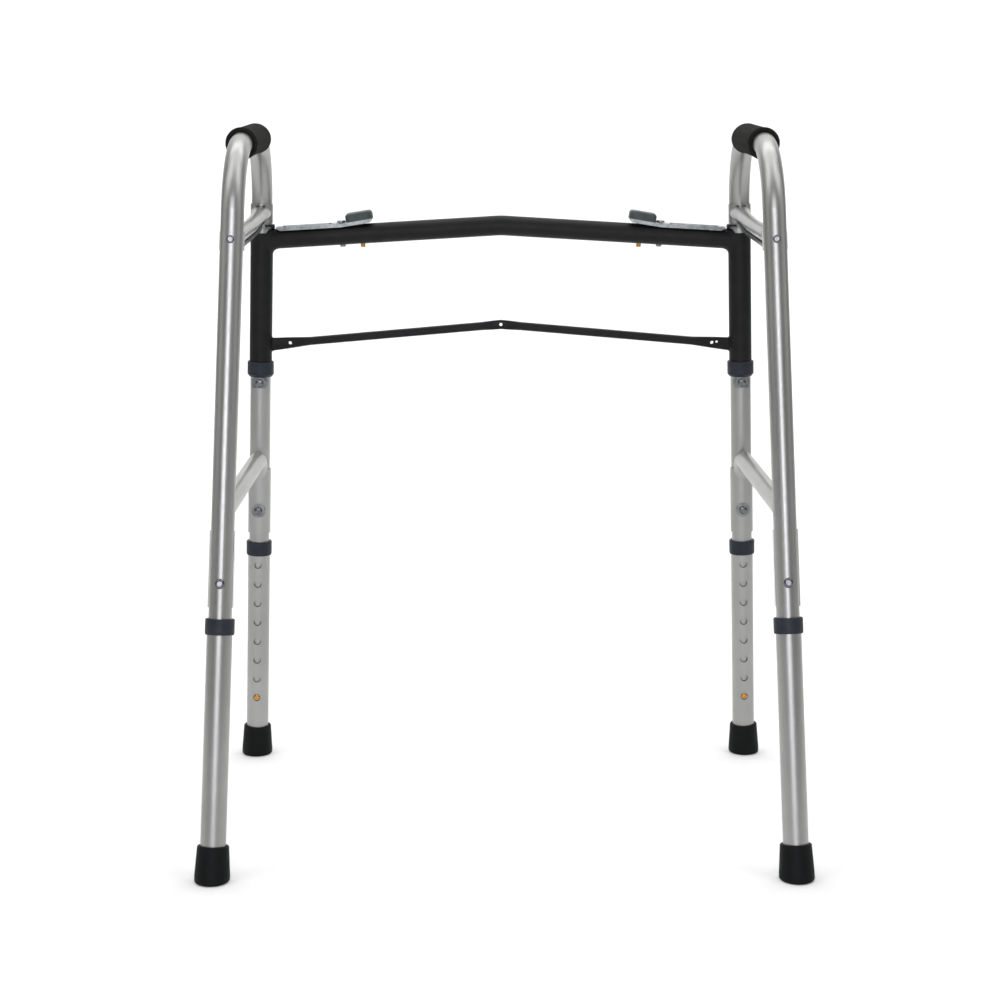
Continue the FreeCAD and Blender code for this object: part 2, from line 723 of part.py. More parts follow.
def make_lock_bracket(side):
    """A zinc channel under the upper brace, with a ring round the front leg and a stop skirt."""
    frame = leg_place(side, "front")
    drop = number("upper_brace_od") / 2 + 0.2
    points = [
        frame.inverse().multVec(point)
        for point in (
            point_on_leg(side, "front", number("upper_brace_front")),
            point_behind_front_leg(side, number("kink_back"), number("upper_brace_kink")),
            point_on_leg(side, "rear", number("upper_brace_rear")),
        )
    ]
    front, kink, rear = (Vector(point.y, point.z - drop, 0) for point in points)
    top = size("ring_height")
    plate, depth, width = size("bracket_plate"), size("bracket_depth"), size("bracket_width")
    near, deep = -62.0, -84.0
    fall = (kink.y - front.y) / kink.x
    far = rear.x + 17
    body = new_body(f"bracket_channel_{side}", frame)
    tongue = new_sketch(body, "YZ")
    outline(tongue, [
        (-13.4, top), (-13.4, top + 1.5), (-16, top + 1.5), (-19, front.y - fall * 19),
        (near - 2, front.y + fall * (near - 2)), (near - 2, front.y + fall * (near - 2) - TONGUE),
        (-20, front.y - fall * 20 - TONGUE), (-16.4, top),
    ])
    pad(body, tongue, 11, both_ways=True)
    solid = new_sketch(body, "YZ")
    near_top, deep_top = sized(front.y + fall * near), sized(front.y + fall * deep)
    outline(solid, [
        (near, near_top), (kink.x, kink.y), (far, rear.y), (far, sized(rear.y) - depth),
        (kink.x, sized(kink.y) - depth), (deep, deep_top - depth), (near, near_top - TONGUE),
    ])
    pad(body, solid, width, both_ways=True)
    hollow = new_sketch(body, "YZ")
    outline(hollow, [
        (near + 1, near_top - plate), (kink.x, sized(kink.y) - plate), (far - 1, sized(rear.y) - plate),
        (far - 1, rear.y - 16), (near + 1, kink.y - 16),
    ])
    pocket(body, hollow, width - 2 * plate, both_ways=True)
    ring = new_sketch(body, "XY", top)
    circle(ring, size("ring_od") / 2)
    pad(body, ring, 1.5)
    bore = new_sketch(body, "XY", top - 20)
    circle(bore, size("tube_od") / 2 + 0.05)
    pocket(body, bore, 60, reverse=True)
    skirt_start = -78 if side == "left" else 190
    low = number("ring_height") - SKIRT
    turn = Rotation(Vector(0, 0, 1), skirt_start)
    skirt = rod(f"stop_skirt_{side}", size("ring_od") / 2, SKIRT + 0.5, shifted(frame, z=low, turn=turn))
    skirt.Angle = 68
    core = rod(f"stop_core_{side}", size("ring_od") / 2 - 1.5, 20, shifted(frame, z=low - 10))
    lip = cut(f"stop_lip_{side}", skirt, [core])
    keep(f"lock_bracket_{side}", fused(f"lock_bracket_{side}", [body, lip]))


def make_hinge_washer(side):
    place = shifted(leg_place(side, "front"), z=number("ring_height") + 1.6)
    inner = size("tube_od") + 0.1
    ring = washer_round(f"hinge_washer_{side}", inner, size("washer_od"), size("washer_height"), place)
    round_edges(ring, 0.8, lambda edge: is_rim(edge, size("washer_od") / 2, size("washer_height")))
    keep(f"hinge_washer_{side}", ring)


def make_bolt(name, place, reach):
    """A dome-headed bolt. The placement is under its head, with Z along the shank."""
    body = new_body(name, place)
    radius = size("bolt_shank") / 2
    head = 5.6
    revolve(body, [(0, -3.4), (head, -3.4), (head, 0), (radius, 0), (radius, reach), (0, reach)])
    round_edges(body, 2.9, lambda edge: is_rim(edge, head, -3.4))
    return body


def make_nut(name, place):
    """A hexagon lock nut. The placement is on the face that it bears on, with Z away from it."""
    body = new_body(name, place)
    sketch = new_sketch(body, "XY")
    corners = [(4.6 * math.cos(math.radians(60 * n)), 4.6 * math.sin(math.radians(60 * n))) for n in range(6)]
    outline(sketch, corners)
    circle(sketch, size("bolt_shank") / 2 + 0.03)
    pad(body, sketch, 4.4)
    return body


def make_saddle_washer(name, side, leg, height, inner, tall, wide):
    """A washer curved to the leg behind it, that tall along the leg and that wide across it."""
    middle = shifted(leg_place(side, leg), z=number(height))
    foot = shifted(middle, z=-tall / 2)
    outer = rod(f"{name}_outer", inner + 1.6, tall, foot)
    shell = cut(f"{name}_shell", outer, [rod(f"{name}_inner", inner, tall, foot)])
    disc = rod(f"{name}_round", wide / 2, 20, shifted(middle, y=-5, turn=POINT_BACK))
    drill = rod(f"{name}_drill", 2.6, 30, shifted(middle, turn=POINT_BACK))
    return cut(name, common(f"{name}_blank", shell, disc), [drill])


def make_side_fasteners(side):
    tube_radius = number("tube_od") / 2
    saddle_radius = tube_radius + number("saddle_wall")
    front, rear = leg_place(side, "front"), leg_place(side, "rear")
    hinge_z = number("hinge_bolt_height")
    front_z, rear_z = number("brace_bolt_front"), number("brace_bolt_rear")
    hinge_washer = make_saddle_washer(
        f"hinge_saddle_{side}", side, "front", "hinge_bolt_height", tube_radius + 0.05, 13, 21)
    brace_washer = make_saddle_washer(
        f"brace_saddle_{side}", side, "front", "brace_bolt_front", saddle_radius + 0.05, 18, 18)
    keep(f"saddle_washers_{side}", together(f"saddle_washers_{side}", [hinge_washer, brace_washer]))
    bolts = [
        make_bolt(f"hinge_bolt_{side}",
                  shifted(front, y=-tube_radius - 1.75, z=hinge_z, turn=POINT_FORWARD), 32.5),
        make_bolt(f"front_brace_bolt_{side}",
                  shifted(front, y=-saddle_radius - 1.75, z=front_z, turn=POINT_FORWARD), 34),
        make_bolt(f"rear_brace_bolt_{side}",
                  shifted(rear, y=-tube_radius - 0.1, z=rear_z, turn=POINT_FORWARD), 33),
    ]
    keep(f"leg_bolts_{side}", together(f"leg_bolts_{side}", bolts))
    nuts = [
        make_nut(f"hinge_nut_{side}", shifted(front, y=tube_radius + 0.1, z=hinge_z, turn=POINT_FORWARD)),
        make_nut(f"front_nut_{side}", shifted(front, y=tube_radius + 0.1, z=front_z, turn=POINT_FORWARD)),
        make_nut(f"rear_nut_{side}", shifted(rear, y=saddle_radius + 0.1, z=rear_z, turn=POINT_FORWARD)),
    ]
    keep(f"lock_nuts_{side}", together(f"lock_nuts_{side}", nuts))


# ---- Height-adjustable legs ----

def make_extension(side, leg):
    """The outer tube of a leg, with a row of height holes on the button's side."""
    turn = Rotation() if leg == "front" else HALF_TURN
    place = shifted(leg_place(side, leg), turn=turn)
    body = new_body(f"extension_{leg}_{side}", place)
    ring = new_sketch(body, "XY", size("extension_bottom"))
    circle(ring, size("extension_od") / 2)
    circle(ring, size("tube_od") / 2 + size("running_gap"))
    pad(body, ring, size("extension_top") - size("extension_bottom"))
    hole = new_sketch(body, "XZ")
    circle(hole, size("hole_od") / 2, 0, size("button_height"))
    holes = pocket(body, hole, 20, reverse=True)
    pattern = body.newObject("PartDesign::LinearPattern", f"{body.Name}_holes")
    pattern.Originals = [holes]
    pattern.Direction = (hole, ["V_Axis"])
    bind(pattern, "Length", size("hole_pitch") * (size("hole_count") - 1))
    pattern.Occurrences = int(number("hole_count"))
    body.Tip = pattern
    keep(f"leg_extension_{leg}_{side}", body)


def make_leg_collar(side, leg):
    """The plastic collar that caps the extension and guides the side tube."""
    body = new_body(f"collar_{leg}_{side}", leg_place(side, leg))
    bottom = size("collar_bottom")
    top = bottom + size("collar_height")
    shoulder = size("extension_top")
    outer, inner = size("collar_od") / 2, size("extension_od") / 2
    lip = size("tube_od") / 2 + size("running_gap")
    revolve(body, [
        (inner, bottom), (outer - 0.4, bottom), (outer, bottom + 2),
        (outer, top), (lip + 0.9, top), (lip, top - 1),
        (lip, shoulder), (inner, shoulder),
    ])
    round_edges(body, 1.2, lambda edge: is_rim(edge, outer, top))
    keep(f"leg_collar_{leg}_{side}", body)


def make_tip(side, leg):
    """A rubber tip with a ribbed skirt, cut level where it meets the floor, and its steel washer."""
    frame = leg_place(side, leg)
    body = new_body(f"tip_{leg}_{side}", frame)
    low, high = size("tip_od") / 2, size("tip_top_od") / 2
    bore, seat = size("extension_od") / 2, size("tip_floor")
    rim = size("tip_height")
    revolve(body, [
        (0, -8), (low, -8), (low, 7), (high, rim - 2), (high, rim), (bore, rim), (bore, seat), (0, seat),
    ])
    round_edges(body, 1.6, lambda edge: is_rim(edge, high, rim))
    floor = DOC.addObject("Part::Box", f"floor_{leg}_{side}")
    floor.Length = floor.Width = 120
    floor.Height = 30
    foot = frame.Base
    floor.Placement = Placement(Vector(foot.x - 60, foot.y - 60, -30), Rotation())
    level = cut(f"tip_level_{leg}_{side}", body, [floor])
    DOC.recompute()
    rounded = DOC.addObject("Part::Fillet", f"tip_round_{leg}_{side}")
    rounded.Base = level
    rounded.Edges = [
        (n, 2.6, 2.6)
        for n, edge in enumerate(level.Shape.Edges, start=1)
        if edge.BoundBox.ZMax < 0.01 and edge.BoundBox.XLength > 30
    ]
    keep(f"rubber_tip_{leg}_{side}", rounded)
    place = shifted(frame, z=number("tip_floor"))
    plate = washer_round(f"tip_washer_{leg}_{side}", 8, size("extension_od") - 0.6, 1.5, place)
    keep(f"tip_washer_{leg}_{side}", plate)


def button_place(side, leg):
    """A button's frame: on the leg's axis, Z out of its hole."""
    turn = POINT_BACK if button_side(leg) < 0 else POINT_FORWARD
    return shifted(leg_place(side, leg), z=number("button_height"), turn=turn)


def make_button(side, leg):
    """A brass snap button: a domed stud with a flange that stops it inside the tube."""
    body = new_body(f"button_{leg}_{side}", button_place(side, leg))
    radius, reach = size("button_od") / 2, size("button_reach")
    revolve(body, [(0, 9.0), (5.0, 9.0), (5.0, 10.1), (radius, 10.1), (radius, reach), (0, reach)])
    round_edges(body, 1.9, lambda edge: is_rim(edge, radius, reach))
    keep(f"snap_button_{leg}_{side}", body)


def make_button_spring(side, leg):
    """A U-shaped leaf inside the side tube, which pushes the button outwards."""
    frame = leg_place(side, leg)
    way = button_side(leg)
    start = shifted(frame, y=-way * 10.2, z=number("button_height") + 4)
    place = shifted(start, turn=Rotation(Vector(1, 0, 0), 180))
    body = new_body(f"button_spring_{leg}_{side}", place)
    strip = new_sketch(body, "XY")
    outline(strip, [(-3.8, -0.3), (3.8, -0.3), (3.8, 0.3), (-3.8, 0.3)])
    route = new_sketch(body, "YZ")
    across = -way * 18.8
    bent_line(route, [Vector(0, 0, 0), Vector(0, 20, 0), Vector(across, 20, 0), Vector(across, -2, 0)], 9.2)
    pipe = body.newObject("PartDesign::AdditivePipe", f"{body.Name}_pipe")
    pipe.Profile = strip
    pipe.Spine = route
    keep(f"button_spring_{leg}_{side}", body)


# ---- Front frame ----

def make_sleeve(side):
    place = shifted(leg_place(side, "front"), z=number("sleeve_bottom"))
    inner = size("tube_od") + 2 * size("running_gap")
    length = size("sleeve_top") - size("sleeve_bottom")
    sleeve = washer_round(f"sleeve_{side}", inner, size("sleeve_od"), length, place)
    keep(f"sleeve_{side}", sleeve)


def make_sleeve_bush(side):
    """The plastic bush that the sleeve turns on, clasping the sleeve's lower end."""
    body = new_body(f"bush_{side}", leg_place(side, "front"))
    bottom = size("bush_bottom")
    top = bottom + size("bush_height")
    outer, sleeve = size("bush_od") / 2, size("sleeve_od") / 2
    bore = size("tube_od") / 2 + size("running_gap")
    revolve(body, [
        (bore, bottom), (outer - 2.2, bottom), (outer, bottom + 3), (outer, top), (sleeve, top),
        (sleeve, size("sleeve_bottom")), (bore, size("sleeve_bottom")),
    ])
    round_edges(body, 1.2, lambda edge: is_rim(edge, outer, top))
    keep(f"sleeve_bush_{side}", body)


def sleeve_tools(name):
    """The space that both sleeves take, for the bars that are welded to them."""
    tools = []
    for side in SIDES:
        place = shifted(leg_place(side, "front"), z=number("sleeve_bottom") - 20)
        tools.append(rod(f"{name}_end_{side}", size("sleeve_od") / 2, 220, place))
    return tools


def lever_drills(side):
    """The rivet's hole in the crossbar, and the slot that lets the brass pin rock."""
    frame = lever_place(side)
    below = -number("crossbar_od") - 5
    length = number("crossbar_od") + 10
    drills = [rod(f"rivet_drill_{side}", size("rivet_shank") / 2 + 0.1, length,
                  shifted(frame, x=number("lever_pivot"), z=below))]
    width = number("pin_od") / 2 + 0.4
    start, end = number("pin_distance") - 3.3, number("pin_distance") + 0.1
    for x in (start, end):
        drills.append(rod(f"pin_slot_end_{side}_{x:.0f}", width, length, shifted(frame, x=x, z=below)))
    middle = DOC.addObject("Part::Box", f"pin_slot_{side}")
    middle.Length, middle.Width, middle.Height = end - start, 2 * width, length
    middle.Placement = shifted(frame, x=start, y=-width, z=below)
    drills.append(middle)
    return drills


def make_crossbar():
    """A shallow V of tube between the sleeves: half of it swept from the middle, and mirrored."""
    od, wall = size("crossbar_od"), size("crossbar_wall")
    slope = crossbar_slope()
    middle = in_front_plane(0, number("crossbar_height") + number("crossbar_rise"))
    body = new_body("crossbar_tube", Placement(middle, front_plane().Rotation))
    ring = new_sketch(body, "YZ")
    circle(ring, od / 2)
    circle(ring, od / 2 - wall)
    route = new_sketch(body, "XZ")
    reach = number("crossbar_bend") * math.tan(slope / 2)
    end = point_on_leg("right", "front", number("crossbar_height")).x
    corners = [Vector(0, 0, 0), Vector(reach, 0, 0), Vector(end, -(end - reach) * math.tan(slope), 0)]
    bent_line(route, corners, size("crossbar_bend"))
    pipe = body.newObject("PartDesign::AdditivePipe", "crossbar_pipe")
    pipe.Profile = ring
    pipe.Spine = route
    mirror_across_middle(body, [pipe])
    tools = sleeve_tools("crossbar")
    for side in SIDES:
        tools += lever_drills(side)
    keep("crossbar", cut("crossbar", body, tools))


def mirror_across_middle(body, originals):
    mirror = body.newObject("PartDesign::Mirrored", f"{body.Name}_mirror")
    mirror.Originals = originals
    support = next(f for f in body.Origin.OriginFeatures if f.Role == "YZ_Plane")
    mirror.MirrorPlane = (support, [""])
    body.Tip = mirror


def make_lower_bar():
    """A thin bar with flattened ends and a flattened middle, each with a small hole."""
    height = number("lower_bar_height")
    end = point_on_leg("right", "front", height).x
    slope = number("lower_bar_rise") / end
    middle = in_front_plane(0, height + number("lower_bar_rise"))
    body = new_body("lower_bar_tube", Placement(middle, front_plane().Rotation))
    od, flat_height, pinch = size("lower_bar_od"), size("lower_bar_flat"), size("lower_bar_pinch")
    stations = [
        (0, pinch + 0.6, od + 1.4), (10, pinch + 0.8, od + 1.2), (24, od, od), (end - 62, od, od),
        (end - 34, pinch + 1, od + 4), (end - 12, pinch, flat_height),
    ]
    sections = []
    for x, thick, tall in stations:
        sketch = new_sketch(body, "YZ", x)
        oval(sketch, thick, tall, -slope * x)
        sections.append(sketch)
    loft = body.newObject("PartDesign::AdditiveLoft", "lower_bar_loft")
    loft.Profile = sections[0]
    loft.Sections = sections[1:]
    loft.Ruled = True
    mirror_across_middle(body, [loft])
    tools = sleeve_tools("lower_bar")
    for index, x in enumerate((-(end - 37), 0, end - 36, end - 30)):
        z = -slope * abs(x) + (1.5 if index == 3 else 0)
        place = shifted(body.Placement, x=x, y=-15, z=z, turn=POINT_FORWARD)
        tools.append(rod(f"bar_hole_{index}", 1.6 if index == 3 else 2.1, 30, place))
    keep("lower_bar", cut("lower_bar", body, tools))


def oval(sketch, wide, tall, centre):
    """An ellipse that is wide along the sketch's X axis and tall along its Y axis."""
    middle = Vector(0, centre, 0)
    axes = [(sized(wide), Vector(1, 0, 0)), (sized(tall), Vector(0, 1, 0))]
    axes.sort(key=lambda axis: -axis[0].number)
    (major, major_way), (minor, minor_way) = axes
    if major.number - minor.number < 1e-6:
        circle(sketch, sized(tall) / 2, 0, centre)
        return
    ends = middle + major_way * (major.number / 2), middle + minor_way * (minor.number / 2)
    index = sketch.addGeometry(Part.Ellipse(*ends, middle), False)
    sketch.exposeInternalGeometry(index)
    pin(sketch, index, 3, 0, centre)
    dimension(sketch, "Distance", (index + 1,), major)
    dimension(sketch, "Distance", (index + 2,), minor)


# ---- Fold latches on the crossbar ----

def tail_rise(distance):
    """How far the lever's bent tail has risen, that far along the crossbar."""
    run = distance - size("lever_pivot")
    return run * math.tan(math.radians(number("lever_tilt")))


def make_latch_lever(side):
    """A zinc channel that lies along the crossbar and rocks on a rib at its pivot."""
    body = new_body(f"latch_lever_{side}", lever_place(side))
    start, pivot, end = size("lever_start"), size("lever_pivot"), size("lever_end")
    gap, plate, lip = size("lever_gap"), size("lever_plate"), size("lever_lip")
    width = size("lever_width")
    solid = new_sketch(body, "XZ")
    outline(solid, [
        (start, gap), (start + 5, gap - lip), (pivot, gap - lip), (end - 3, gap - lip + tail_rise(end - 3)),
        (end, gap + tail_rise(end)), (end, gap + plate + tail_rise(end)),
        (pivot, gap + plate), (start, gap + plate),
    ])
    pad(body, solid, width, both_ways=True)
    hollow = new_sketch(body, "XZ")
    outline(hollow, [
        (start - 1, gap - 5), (end + 1, gap - 5), (end + 1, gap + tail_rise(end + 1)),
        (pivot, gap), (start - 1, gap),
    ])
    pocket(body, hollow, width - 2 * plate, both_ways=True)
    rocker = new_sketch(body, "XZ")
    circle(rocker, 1.2, pivot, gap + 0.3)
    pad(body, rocker, width - 2 * plate, both_ways=True)
    bead = new_sketch(body, "XY", gap + plate - 0.5)
    slot(bead, start + 12, pivot - 16, 4)
    pad(body, bead, 1.4)
    hole = new_sketch(body, "XY", -10)
    circle(hole, 3.3, pivot, 0)
    pocket(body, hole, 30, reverse=True)
    keep(f"latch_lever_{side}", body)


def make_paddle(side):
    """The plastic paddle on top of the lever's tail."""
    tilt = Rotation(Vector(0, 1, 0), -number("lever_tilt"))
    top = number("lever_gap") + number("lever_plate")
    place = shifted(lever_place(side), x=number("lever_pivot"), z=top, turn=tilt)
    body = new_body(f"latch_paddle_{side}", place)
    length, width = size("paddle_length"), size("paddle_width")
    start = 6.5
    low, high = 0.02, 10.2
    block = new_sketch(body, "XY", low)
    end, half = start + length, width / 2
    outline(block, [(start, -half), (end, -half), (end, half), (start, half)])
    pad(body, block, high - low)
    round_edges(body, 7, lambda edge: stands_at(edge, start + length.number))
    round_edges(body, 5, lambda edge: stands_at(edge, start))
    round_edges(body, 4, lambda edge: edge.BoundBox.ZMin > high - 0.01)
    keep(f"latch_paddle_{side}", body)


def stands_at(edge, x):
    """Is the edge upright, at that distance along the body?"""
    box = edge.BoundBox
    return box.ZLength > 1 and box.XLength < 0.01 and abs(box.XMin - x) < 0.01


def make_latch_pin(side):
    """The brass pin under the lever's tail, which passes right through the crossbar."""
    body = new_body(f"latch_pin_{side}", shifted(lever_place(side), x=number("pin_distance")))
    radius = size("pin_od") / 2
    low = -size("crossbar_od") - size("pin_stands_out")
    top = size("lever_gap") + tail_rise(size("pin_distance") - radius) - 0.02
    revolve(body, [(0, low), (radius, low), (radius, top), (0, top)])
    round_edges(body, 1.4, lambda edge: is_rim(edge, radius, low))
    keep(f"latch_pin_{side}", body)


def make_latch_rivet(side):
    """The rivet that holds the lever on the crossbar, with room under its head for the lever to rock."""
    body = new_body(f"latch_rivet_{side}", shifted(lever_place(side), x=number("lever_pivot")))
    shank, head, tail = size("rivet_shank") / 2, 5.5, 3.65
    under = size("lever_gap") + size("lever_plate") + 0.9
    bar = -size("crossbar_od")
    revolve(body, [
        (0, bar - 2.4), (tail, bar - 2.4), (tail, bar - 0.05),
        (shank, bar - 0.05), (shank, under), (head, under),
        (head, under + 2.4), (0, under + 2.4),
    ])
    round_edges(body, 2.1, lambda edge: is_rim(edge, head, under + 2.4))
    round_edges(body, 1.6, lambda edge: is_rim(edge, tail, bar - 2.4))
    keep(f"latch_rivet_{side}", body)


def make_latch_spring(side):
    """The coil spring round the brass pin that lifts the lever's tail."""
    body = new_body(f"latch_spring_{side}", shifted(lever_place(side), x=number("pin_distance"), z=0.1))
    wire = new_sketch(body, "XZ")
    circle(wire, 0.35, 4.3, 0.4)
    coil = body.newObject("PartDesign::AdditiveHelix", f"{body.Name}_coil")
    coil.Profile = wire
    coil.ReferenceAxis = (wire, ["V_Axis"])
    coil.Mode = "pitch-turns-angle"
    coil.Pitch = 0.95
    coil.Turns = 2
    keep(f"latch_spring_{side}", body)


def write_parts():
    """Check every object, then write one STEP file for each sub-part."""
    DOC.recompute()
    failed = [o.Name for o in DOC.Objects if {"Invalid", "Error"} & set(o.State)]
    if failed:
        raise RuntimeError(f"failed objects: {failed}")
    for node in NODES:
        if node.Shape.isNull() or not node.Shape.isValid() or not node.Shape.Solids:
            raise RuntimeError(f"{node.Label} has no sound shape")
    os.makedirs("parts", exist_ok=True)
    for node in NODES:
        node.Shape.exportStep(f"parts/{node.Label}.step")


def main():
    make_crossbar()
    make_lower_bar()
    for side in SIDES:
        make_sleeve(side)
        make_sleeve_bush(side)
        make_latch_rivet(side)
        make_latch_spring(side)
        make_latch_lever(side)
        make_paddle(side)
        make_latch_pin(side)
        make_side_tube(side)
        make_grip(side)
        make_upper_brace(side)
        make_lower_brace(side)
        make_lock_bracket(side)
        make_hinge_washer(side)
        make_side_fasteners(side)
        for leg in LEGS:
            make_extension(side, leg)
            make_leg_collar(side, leg)
            make_tip(side, leg)
            make_button(side, leg)
            make_button_spring(side, leg)
    write_parts()


main()
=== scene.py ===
import json
import math

import bpy
from mathutils import Euler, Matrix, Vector


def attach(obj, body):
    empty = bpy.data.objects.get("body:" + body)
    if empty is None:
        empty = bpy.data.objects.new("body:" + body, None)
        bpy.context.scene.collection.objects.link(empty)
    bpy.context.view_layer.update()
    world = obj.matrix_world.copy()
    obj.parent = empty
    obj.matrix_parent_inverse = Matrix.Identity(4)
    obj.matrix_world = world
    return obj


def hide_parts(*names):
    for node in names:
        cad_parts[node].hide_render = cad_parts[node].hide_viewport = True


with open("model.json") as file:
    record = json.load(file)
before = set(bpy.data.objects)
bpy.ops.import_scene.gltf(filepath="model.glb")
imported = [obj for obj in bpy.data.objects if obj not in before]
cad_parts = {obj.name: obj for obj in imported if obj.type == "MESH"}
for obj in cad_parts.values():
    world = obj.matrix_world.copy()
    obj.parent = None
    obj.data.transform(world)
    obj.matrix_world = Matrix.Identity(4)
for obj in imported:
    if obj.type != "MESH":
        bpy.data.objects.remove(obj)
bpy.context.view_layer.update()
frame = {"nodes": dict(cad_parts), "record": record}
NODES = frame["nodes"]

# The frame's own dimensions, as in the CAD
FOOT_X, FOOT_Y = 0.320, 0.2275
SPLAY, FRONT_LEAN, REAR_LEAN = 0.0344, 0.0346, 0.1765
HANDLE_FRONT_Z, HANDLE_REAR_Z, BEND_R = 0.7988, 0.7887, 0.085
TUBE_R = 0.0127
SIDES = {"left": -1, "right": 1}
# Each leg's lean away from the front, and how far forward its foot stands
LEGS = {"front": (FRONT_LEAN, FOOT_Y), "rear": (-REAR_LEAN, -FOOT_Y)}


# ---- Materials ----

class Nodes:
    """A material's node tree, with short calls for the nodes used here."""

    def __init__(self, name):
        self.material = bpy.data.materials.new(name)
        self.material.use_nodes = True
        self.tree = self.material.node_tree
        self.shader = self.tree.nodes["Principled BSDF"]
        self.place = self.tree.nodes.new("ShaderNodeTexCoord").outputs["Object"]

    def link(self, start, end):
        self.tree.links.new(start, end)

    def stretched(self, scale):
        mapping = self.tree.nodes.new("ShaderNodeMapping")
        mapping.inputs["Scale"].default_value = scale
        self.link(self.place, mapping.inputs["Vector"])
        return mapping.outputs["Vector"]

    def noise(self, scale, detail=2.0, where=None, rough=0.5):
        node = self.tree.nodes.new("ShaderNodeTexNoise")
        node.inputs["Scale"].default_value = scale
        node.inputs["Detail"].default_value = detail
        node.inputs["Roughness"].default_value = rough
        self.link(where or self.place, node.inputs["Vector"])
        return node.outputs["Fac"]

    def cells(self, scale):
        node = self.tree.nodes.new("ShaderNodeTexVoronoi")
        node.inputs["Scale"].default_value = scale
        self.link(self.place, node.inputs["Vector"])
        return node.outputs["Distance"]

    def ramp(self, fac, low, high, start=0.3, stop=0.7):
        node = self.tree.nodes.new("ShaderNodeValToRGB")
        ends = node.color_ramp.elements
        ends[0].position, ends[1].position = start, stop
        ends[0].color, ends[1].color = (*low, 1), (*high, 1)
        self.link(fac, node.inputs["Fac"])
        return node.outputs["Color"]

    def spread(self, fac, low, high, start=0.3, stop=0.7):
        node = self.tree.nodes.new("ShaderNodeMapRange")
        ends = {"From Min": start, "From Max": stop, "To Min": low, "To Max": high}
        for name, value in ends.items():
            node.inputs[name].default_value = value
        self.link(fac, node.inputs["Value"])
        return node.outputs["Result"]

    def bump(self, height, strength, distance, below=None):
        node = self.tree.nodes.new("ShaderNodeBump")
        node.inputs["Strength"].default_value = strength
        node.inputs["Distance"].default_value = distance
        self.link(height, node.inputs["Height"])
        if below:
            self.link(below, node.inputs["Normal"])
        return node.outputs["Normal"]

    def finish(self, color=None, roughness=None, normal=None, **sockets):
        for socket, value in (("Base Color", color), ("Roughness", roughness), ("Normal", normal)):
            if value is not None:
                self.link(value, self.shader.inputs[socket])
        for name, value in sockets.items():
            self.shader.inputs[name.replace("_", " ")].default_value = value
        return self.material


def satin_aluminium():
    """Satin anodised tube: a soft grain drawn along it and faint clouds."""
    n = Nodes("satin_aluminium")
    drawn = n.noise(1.0, detail=3.0, where=n.stretched((900, 900, 26)))
    clouds = n.noise(9.0, detail=3.0)
    color = n.ramp(clouds, (0.345, 0.345, 0.335), (0.395, 0.395, 0.388))
    rough = n.spread(drawn, 0.34, 0.41)
    grain = n.bump(n.noise(2600, detail=1.0), strength=0.10, distance=0.0002)
    normal = n.bump(drawn, strength=0.05, distance=0.0002, below=grain)
    return n.finish(color, rough, normal, Metallic=1.0)


def dark_frame():
    """Near-black powder coat with a fine leathery texture."""
    n = Nodes("dark_frame")
    pebble = n.noise(750, rough=0.6)
    color = n.ramp(n.noise(60, detail=3.0), (0.0045, 0.0048, 0.0052), (0.0080, 0.0082, 0.0088))
    rough = n.spread(pebble, 0.42, 0.56)
    normal = n.bump(pebble, strength=0.35, distance=0.0005)
    return n.finish(color, rough, normal, Specular_IOR_Level=0.2)


def zinc():
    """Zinc plate with a cool, cloudy passivation."""
    n = Nodes("zinc")
    clouds = n.noise(110, detail=4.0, rough=0.6)
    color = n.ramp(clouds, (0.16, 0.175, 0.175), (0.32, 0.345, 0.34))
    roughness = n.spread(n.noise(420), 0.24, 0.38)
    normal = n.bump(n.noise(1400), strength=0.16, distance=0.0002)
    return n.finish(color, roughness, normal, Metallic=1.0)


def moulded(name, low, high, rough, grain=2200, bump=0.18):
    """A moulded plastic with a fine grain."""
    n = Nodes(name)
    color = n.ramp(n.noise(70, detail=3.0), low, high)
    roughness = n.spread(n.noise(300), *rough)
    normal = n.bump(n.noise(grain), strength=bump, distance=0.00025)
    return n.finish(color, roughness, normal, Specular_IOR_Level=0.22)


def foam():
    """Matt foam: closed cells, a fine roughness and a faint dusty bloom."""
    n = Nodes("foam")
    cells = n.bump(n.cells(1500), strength=0.4, distance=0.0003)
    bloom = n.noise(150, detail=4.0, rough=0.65)
    color = n.ramp(bloom, (0.0075, 0.0073, 0.0062), (0.0150, 0.0145, 0.0125))
    roughness = n.spread(bloom, 0.72, 0.9)
    normal = n.bump(n.noise(900, detail=3.0), strength=0.35, distance=0.0004, below=cells)
    return n.finish(color, roughness, normal, Specular_IOR_Level=0.14)


def rubber():
    """Moulded rubber with faint dust and a fine grain."""
    n = Nodes("rubber_tip")
    dust = n.noise(45, detail=5.0, rough=0.6)
    color = n.ramp(dust, (0.0022, 0.0027, 0.0028), (0.0050, 0.0060, 0.0062))
    roughness = n.spread(dust, 0.5, 0.66)
    normal = n.bump(n.noise(1300, detail=3.0), strength=0.22, distance=0.0003)
    return n.finish(color, roughness, normal, Specular_IOR_Level=0.13)


def polished(name, low, high, rough):
    """Turned or plated metal, with faint turning marks."""
    n = Nodes(name)
    color = n.ramp(n.noise(200, detail=3.0), low, high)
    roughness = n.spread(n.noise(650), *rough)
    normal = n.bump(n.noise(900), strength=0.05, distance=0.0002)
    return n.finish(color, roughness, normal, Metallic=1.0)


